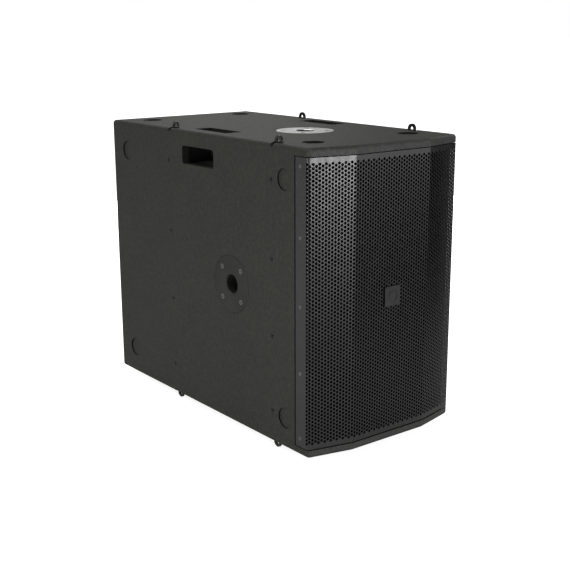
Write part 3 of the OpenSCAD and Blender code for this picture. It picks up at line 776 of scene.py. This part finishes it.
def edged_badge(name, dark, light):
    """Brushed front in dark grey; its sides are coloured nearly black as painted shade."""
    look = Look(name, Specular_IOR_Level=0.6)
    lines = look.noise(1.5 * MM, 4, 0.6, look.stretched(0.08, 1, 1))
    # Painted shade: every face but the front is coloured nearly black
    front = look.math("LESS_THAN", look.axis("Y", look.normal()), -0.7)
    look.colour(look.mix(front, NEARLY_BLACK, look.mix(lines, dark, light)))
    look.rough(lines, 0.34, 0.46)
    look.relief(lines, 0.02 * MM, 0.6)
    return look.material


def moulded(name, dark, light, roughness=0.5, grain=0.6 * MM, specular=0.45, coat=0.0):
    """Moulded plastic with a spark-eroded grain."""
    look = Look(name, Specular_IOR_Level=specular, Coat_Weight=coat, Coat_Roughness=0.12)
    bumps = look.math("ADD", look.noise(grain, 2), look.math("MULTIPLY", look.cells(grain * 1.4), 0.6))
    look.colour(look.mix(look.patches(25 * MM, 4), dark, light))
    look.rough(look.noise(8 * MM, 4), roughness - 0.07, roughness + 0.07)
    look.relief(bumps, 0.04 * MM, 0.6)
    return look.material


def rubber(name, dark, light, roughness=0.72):
    """Dull rubber with some dust."""
    look = Look(name, Specular_IOR_Level=0.35)
    dust = look.mapped(look.noise(14 * MM, 6, 0.7), 0.5, 0.75, 0, 1)
    look.colour(look.mix(dust, dark, light))
    look.rough(look.noise(5 * MM, 4), roughness - 0.08, roughness + 0.1)
    look.relief(look.noise(0.8 * MM, 3), 0.05 * MM, 0.6)
    return look.material


def bare_metal(name, dark, light, roughness=0.32, along=(1, 1, 1), streak=1.2 * MM, metallic=1.0):
    """Machined or plated metal with fine streaks; along stretches them."""
    look = Look(name, Metallic=metallic)
    lines = look.noise(streak, 4, 0.6, look.stretched(*along))
    tone = look.weighted(lines, 0.7, look.noise(25 * MM, 4), 0.3)
    look.colour(look.mix(look.mapped(tone, 0.35, 0.65, 0, 1), dark, light))
    look.rough(lines, roughness - 0.06, roughness + 0.08)
    look.relief(lines, 0.02 * MM, 0.5)
    return look.material


def turned_plate(name, dark, light, centre, bore_top, roughness=0.34):
    """Level metal plate with fine turned rings round its centre, and painted shade, dark, in the bore below
    bore_top.
    """
    look = Look(name, Metallic=0.92)
    offset = look.vector("ADD", look.place, (-centre[0], -centre[1], -centre[2]))
    radius = look.length(look.vector("MULTIPLY", offset, (1, 1, 0)))
    spin = {"W": look.math("MULTIPLY", radius, 1 / (0.45 * MM)), "Detail": 3, "Scale": 1.0}
    rings = look.add("ShaderNodeTexNoise", spin, noise_dimensions="1D").outputs["Fac"]
    # Painted shade: the bore below bore_top is coloured dark
    inside = look.math("LESS_THAN", look.axis("Z"), bore_top)
    look.colour(look.mix(inside, look.mix(look.patches(30 * MM, 4), dark, light), (0.015, 0.015, 0.015)))
    look.rough(rings, roughness - 0.05, roughness + 0.08)
    look.relief(rings, 0.015 * MM, 0.6)
    return look.material


def plywood(name, dark, light):
    """Bare plywood: grain along Z, and plies across Y."""
    look = Look(name, Specular_IOR_Level=0.3)
    grain = look.noise(6 * MM, 6, 0.6, look.stretched(1, 1, 0.08))
    plies = look.waves(0.5 / (2.6 * MM), "Y", Distortion=0.6, Detail=2)
    look.colour(look.mix(look.mapped(look.weighted(grain, 0.75, plies, 0.25), 0.3, 0.7, 0, 1), dark, light))
    look.rough(grain, 0.55, 0.75)
    look.relief(grain, 0.08 * MM, 0.5)
    return look.material


def open_foam(name, dark, light, pore=0.9 * MM):
    """Matt foam with open pores."""
    look = Look(name, Specular_IOR_Level=0.1, Roughness=0.95)
    pores = look.cells(pore, "SMOOTH_F1")
    look.colour(look.mix(look.mapped(pores, 0.2, 0.7, 0, 1), light, dark))
    look.relief(pores, 0.5 * MM, 0.8)
    return look.material


def felt(name, dark, light):
    """Matted fibres with a soft sheen."""
    look = Look(name, Specular_IOR_Level=0.15, Sheen_Weight=0.4, Sheen_Roughness=0.5)
    fibres = look.noise(1.6 * MM, 8, 0.75, look.stretched(1, 0.5, 0.7))
    look.colour(look.mix(look.mapped(fibres, 0.35, 0.65, 0, 1), dark, light))
    look.rough(fibres, 0.85, 0.98)
    look.relief(fibres, 0.5 * MM, 0.8)
    return look.material


def woven(name, dark, light, thread=0.5 * MM):
    """Plain weave across X and Z."""
    look = Look(name, Specular_IOR_Level=0.2)
    across, along = (look.waves(WAVE / thread, direction, Distortion=0.3) for direction in "XZ")
    weave = look.math("MAXIMUM", across, along)
    look.colour(look.mix(weave, dark, light))
    look.rough(look.mapped(weave, 0, 1, 0.7, 0.9))
    look.relief(weave, 0.15 * MM, 0.7)
    return look.material


def pressed_pulp(name, dark, light):
    """Paper pulp with visible fibres."""
    look = Look(name, Specular_IOR_Level=0.2)
    fibres = look.noise(2.2 * MM, 8, 0.8)
    look.colour(look.mix(look.mapped(fibres, 0.4, 0.7, 0, 1), dark, light))
    look.rough(fibres, 0.7, 0.9)
    look.relief(fibres, 0.12 * MM, 0.8)
    return look.material


def copper_winding(name, dark, light):
    """Turns of enamelled wire round the Y axis."""
    look = Look(name, Metallic=0.9)
    turns = look.waves(WAVE / (0.3 * MM), "Y")
    look.colour(look.mix(turns, dark, light))
    look.rough(look.mapped(turns, 0, 1, 0.35, 0.25))
    look.relief(turns, 0.1 * MM, 0.8)
    return look.material


def circuit_board(name, mask, track):
    """Solder mask with a pattern of tracks."""
    look = Look(name, Specular_IOR_Level=0.5)
    bricks = {"Vector": look.place, "Scale": 130, "Mortar Size": 0.03, "Color1": (0, 0, 0, 1),
              "Color2": (0.15, 0.15, 0.15, 1), "Mortar": (1, 1, 1, 1)}
    tracks = look.add("ShaderNodeTexBrick", bricks).outputs["Color"]
    look.colour(look.mix(tracks, mask, track))
    look.rough(look.noise(4 * MM), 0.3, 0.45)
    look.relief(look.noise(2 * MM, 2), 0.05 * MM, 0.4)
    return look.material


def printed_white(name):
    """Slightly worn white ink."""
    look = Look(name, Specular_IOR_Level=0.3)
    wear = look.mapped(look.noise(0.7 * MM, 5, 0.7), 0.35, 0.6, 0, 1)
    look.colour(look.mix(wear, (0.42, 0.42, 0.41), (0.62, 0.62, 0.6)))
    look.rough(look.noise(1.5 * MM), 0.5, 0.65)
    look.relief(look.noise(0.3 * MM, 2), 0.01 * MM, 0.5)
    return look.material


def fastener_finishes(name, top_z, side_x):
    """Countersunk screws: bright in the top plate, dull zinc in the side plate, black in the amplifier."""
    look = Look(name, Metallic=0.85)
    on_top = look.math("GREATER_THAN", look.axis("Z"), top_z)
    on_side = look.math("LESS_THAN", look.axis("X"), side_x)
    streaks = look.noise(0.8 * MM, 3)
    black = look.mix(streaks, (0.02, 0.02, 0.021), (0.035, 0.035, 0.036))
    zinc = look.mix(streaks, (0.16, 0.16, 0.155), (0.24, 0.24, 0.23))
    bright = look.mix(streaks, (0.2, 0.2, 0.2), (0.34, 0.34, 0.33))
    look.colour(look.mix(on_top, look.mix(on_side, black, zinc), bright))
    look.rough(streaks, 0.28, 0.42)
    look.relief(streaks, 0.02 * MM, 0.5)
    return look.material


def grey(value):
    return (value, value, value)


def cabinet_looks():
    """Wood, steel front, fittings and rigging."""
    pole_low, pole_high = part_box("top_pole_socket")
    pole_centre = (pole_low + pole_high) / 2
    bore_top = pole_high.z - 1.2 * MM
    below_top_plate = pole_high.z - 20 * MM
    inside_side_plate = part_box("side_pole_socket")[0].x + 20 * MM
    return {
        "textured_paint": pebbled_paint("textured_paint", PAINT_DARK, PAINT_LIGHT,
                                        (FRONT_HIGHLIGHT_PAINT_DARK, FRONT_HIGHLIGHT_PAINT_LIGHT)),
        "side_paint_with_painted_shade": side_paint_with_painted_shade("side_paint_with_painted_shade", PAINT_DARK, PAINT_LIGHT),
        "bare_plywood": plywood("bare_plywood", (0.42, 0.27, 0.13), (0.68, 0.5, 0.3)),
        "baffle_paint": pebbled_paint("baffle_paint", grey(0.008), grey(0.02)),
        "pocket_plastic": moulded("pocket_plastic", grey(0.004), grey(0.009), 0.6),
        "felt": felt("felt", (0.14, 0.14, 0.13), (0.36, 0.36, 0.33)),
        "grille_steel": powder_coat("grille_steel", (0.011, 0.0112, 0.0116), (0.016, 0.0162, 0.0166), 0.33,
                                    specular=0.8),
        "foam": open_foam("foam", NEARLY_BLACK, grey(0.008)),
        "dark_screw": bare_metal("dark_screw", grey(0.05), grey(0.1), 0.35, metallic=0.9),
        "badge_metal": edged_badge("badge_metal", (0.016, 0.016, 0.0164), (0.024, 0.024, 0.0246)),
        "rigging_enamel": powder_coat("rigging_enamel", grey(0.008), grey(0.014), 0.26, 1.5 * MM,
                                      specular=0.8),
        "silver_plate": turned_plate("silver_plate", (0.66, 0.65, 0.645), (0.8, 0.79, 0.785),
                                     pole_centre, bore_top),
        "painted_plate": powder_coat("painted_plate", (0.019, 0.0194, 0.0168), (0.028, 0.0286, 0.025), 0.5,
                                     specular=0.35),
        "plate_screw": fastener_finishes("plate_screw", below_top_plate, inside_side_plate),
        "foot_rubber": rubber("foot_rubber", grey(0.008), grey(0.02)),
        "zinc_screw": bare_metal("zinc_screw", grey(0.14), grey(0.22), 0.3, metallic=0.5),
        "port_plastic": moulded("port_plastic", grey(0.01), grey(0.018), 0.45),
    }


def woofer_looks():
    """Baskets, magnets, cones and what they hang on."""
    return {
        "basket_metal": powder_coat("basket_metal", (0.03, 0.03, 0.032), (0.05, 0.05, 0.053), 0.45),
        "plate_steel": bare_metal("plate_steel", (0.4, 0.4, 0.42), (0.6, 0.6, 0.62), 0.35),
        "ferrite": moulded("ferrite", (0.02, 0.02, 0.022), (0.045, 0.045, 0.048), 0.7),
        "gasket_foam": open_foam("gasket_foam", grey(0.006), grey(0.018), 0.6 * MM),
        "surround_rubber": rubber("surround_rubber", grey(0.008), grey(0.014), 0.55),
        "spider_cloth": woven("spider_cloth", (0.3, 0.2, 0.07), (0.52, 0.4, 0.18)),
        "cone_pulp": pressed_pulp("cone_pulp", (0.01, 0.01, 0.011), (0.03, 0.03, 0.032)),
        "coil_copper": copper_winding("coil_copper", (0.35, 0.13, 0.05), (0.85, 0.42, 0.2)),
    }


def amplifier_looks():
    """The amplifier's plate, boards, sockets and controls."""
    return {
        "amp_paint": powder_coat("amp_paint", (0.013, 0.013, 0.0138), (0.0165, 0.0165, 0.0173), 0.45,
                                 0.6 * MM, 0.05 * MM),
        "anodised": bare_metal("anodised", (0.018, 0.018, 0.02), (0.035, 0.035, 0.038), 0.4, (1, 1, 0.02),
                               metallic=0.7),
        "galvanised": bare_metal("galvanised", (0.4, 0.41, 0.42), (0.62, 0.63, 0.64), 0.4, streak=9 * MM),
        "board": circuit_board("board", (0.008, 0.07, 0.03), (0.05, 0.2, 0.08)),
        "socket_plastic": moulded("socket_plastic", grey(0.008), grey(0.015), 0.42),
        "mains_plastic": moulded("mains_plastic", (0.02, 0.04, 0.13), (0.035, 0.06, 0.18), 0.42),
        "latch_metal": bare_metal("latch_metal", (0.5, 0.5, 0.49), (0.68, 0.68, 0.67), 0.25, (1, 1, 6)),
        "switch_plastic": moulded("switch_plastic", grey(0.008), grey(0.013), 0.25, 1.2 * MM, coat=0.3),
        "display_acrylic": moulded("display_acrylic", (0.003, 0.004, 0.006), (0.005, 0.006, 0.009), 0.24,
                                   2 * MM, coat=0.2),
        "shaft_metal": bare_metal("shaft_metal", (0.45, 0.45, 0.46), (0.65, 0.65, 0.67), 0.28, (4, 0.2, 4)),
        "knob_rubber": rubber("knob_rubber", grey(0.012), grey(0.022), 0.6),
        "button_plastic": moulded("button_plastic", (0.05, 0.05, 0.053), (0.075, 0.075, 0.08), 0.4),
    }


# ---------- Assembly ----------

def dress_frame(looks):
    """Gives every CAD node the look of its material slot; the side panels have a paint of their own, with
    painted shade in the rebate and the recesses.
    """
    for part in frame["record"]["subparts"]:
        slot = "side_paint_with_painted_shade" if part["node"].endswith("_side_panel") else part["material_slot"]
        materials = frame["nodes"][part["node"]].data.materials
        materials.clear()
        materials.append(looks[slot])


def attach(piece, looks, slot, body, *replaced):
    """Gives a new piece the look of its slot and its body, and hides the CAD nodes that it stands for."""
    piece.data.materials.append(looks[slot])
    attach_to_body(piece, body)
    if replaced:
        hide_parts(*replaced)


def dress_front(looks):
    """Perforated steel, its screws, and the foam behind it."""
    for piece in make_grille():
        attach(piece, looks, "grille_steel", "cabinet", "grille")
    attach(make_flange_screws(), looks, "zinc_screw", "cabinet", "grille_screws")
    foam = make_foam()
    attach(foam, looks, "foam", "cabinet", "grille_foam")


def dress_inside(looks):
    """Felt on the inner walls."""
    pads = make_felt()
    attach(pads, looks, "felt", "cabinet", "damping_felt")


def dress_back(looks):
    """Screws, lamps and print of the amplifier's plate, and the white lines of its knobs."""
    attach(make_socket_screws(), looks, "dark_screw", "cabinet")
    attach(make_lamps(), looks, "button_plastic", "cabinet")
    white = printed_white("printed_white")
    printed = {"cabinet": make_panel_print(), "encoder_knob": make_pointer("encoder_knob"),
               "level_knob": make_pointer("level_knob")}
    for body, piece in printed.items():
        piece.data.materials.append(white)
        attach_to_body(piece, body)


# ---------- Studio ----------

def make_floor():
    """White floor that looks evenly lit to the camera and throws only a little light back at the object."""
    size, gap = 40, 0.3 * MM
    corners = [(-size, -size, 0), (size, -size, 0), (size, size, 0), (-size, size, 0)]
    floor = new_object("studio_floor", corners, [(0, 1, 2, 3)])
    look = Look("studio_floor", Roughness=0.9, Specular_IOR_Level=0.1)
    seen = look.add("ShaderNodeLightPath").outputs["Is Camera Ray"]
    far = look.mix(look.mapped(look.axis("X"), -0.8, 0.4, 0, 1), (0.75, 0.75, 0.74), grey(0.05))
    thrown = look.mix(look.mapped(look.length(look.place), 0.5, 1.6, 0, 1), (0.66, 0.66, 0.65), far)
    look.colour(look.mix(seen, thrown, grey(0.94)))
    look.tree.links.new(look.math("MULTIPLY", seen, 0.88), look.shader.inputs["Emission Strength"])
    look.shader.inputs["Emission Color"].default_value = (1, 1, 1, 1)
    floor.data.materials.append(look.material)
    floor.location.z = -gap


def soft_sun(name, power, spread, tilt):
    """Broad light from above; spread and tilt about X and Y are in degrees."""
    light = bpy.data.lights.new(name, "SUN")
    light.energy = power
    light.angle = radians(spread)
    linked(name, light).rotation_euler = (radians(tilt[0]), radians(tilt[1]), 0)


def softbox(name, place, target, size, power):
    """Rectangular light that faces a target and isn't seen itself."""
    light = bpy.data.lights.new(name, "AREA")
    light.shape = "RECTANGLE"
    light.size, light.size_y = size
    light.energy = power
    obj = linked(name, light)
    obj.location = place
    obj.rotation_mode = "QUATERNION"
    obj.rotation_quaternion = (Vector(target) - Vector(place)).to_track_quat("-Z", "Y")
    obj.visible_camera = False


def make_lights():
    """A soft overhead light and a softbox for each side and reflection."""
    middle = (CAD_LOW + CAD_HIGH) / 2
    soft_sun("overhead", 1.58, 60, (-12, -16))
    softbox("front_softbox", (0.6, -2.7, 0.45), (0.05, -0.35, 0.45), (0.8, 0.66), 23)
    softbox("front_right_softbox", (1.9, -2.2, 0.6), middle, (0.9, 0.9), 4)
    softbox("left_softbox", (-1.7, -0.35, 0.17), (-0.18, 0.0, 0.2), (1.0, 0.34), 7.7)
    softbox("rear_softbox", (1.0, 1.7, 1.6), middle, (1.0, 1.0), 3.6)
    softbox("right_softbox", (2.6, 0.6, 1.6), middle, (1.0, 1.0), 8)
    softbox("low_right_softbox", (2.4, 1.3, 0.3), (0.18, 0.0, 0.3), (0.8, 0.55), 12)
    softbox("back_softbox", (0.8, 2.5, 0.3), (0.0, 0.35, 0.3), (0.8, 0.55), 12)


def make_world():
    """White background that adds only a little light of its own."""
    world = bpy.data.worlds.new("studio")
    bpy.context.scene.world = world
    world.use_nodes = True
    tree = world.node_tree
    background = tree.nodes["Background"]
    background.inputs["Color"].default_value = (1, 1, 1, 1)
    seen = tree.nodes.new("ShaderNodeLightPath").outputs["Is Camera Ray"]
    strength = tree.nodes.new("ShaderNodeMapRange")
    strength.inputs["To Min"].default_value = 0.13
    strength.inputs["To Max"].default_value = 1.0
    tree.links.new(seen, strength.inputs["Value"])
    tree.links.new(strength.outputs["Result"], background.inputs["Strength"])


def make_camera():
    """Eye point measured from the middle of the object's box, and the direction of view."""
    azimuth, elevation, roll = radians(-37.796), radians(14.429), radians(-0.21)
    eye = (CAD_LOW + CAD_HIGH) / 2 + Vector((-1.2568, -1.65, 0.4846))
    forward = Vector((-sin(azimuth) * cos(elevation), cos(azimuth) * cos(elevation), -sin(elevation)))
    right = forward.cross(Vector((0, 0, 1))).normalized()
    up = right.cross(forward)
    tilted_right = right * cos(roll) + up * sin(roll)
    tilted_up = up * cos(roll) - right * sin(roll)
    data = bpy.data.cameras.new("camera")
    data.lens = 64.52
    data.sensor_width = 36
    data.clip_start, data.clip_end = 0.05, 100
    camera = linked("camera", data)
    camera.matrix_world = Matrix((tilted_right, tilted_up, -forward)).transposed().to_4x4()
    camera.location = eye
    bpy.context.scene.camera = camera


make_camera()
looks = {**cabinet_looks(), **woofer_looks(), **amplifier_looks()}
dress_frame(looks)
dress_front(looks)
dress_inside(looks)
dress_back(looks)
make_suspensions(looks)
make_floor()
make_lights()
make_world()
bpy.context.scene.view_settings.view_transform = "Standard"
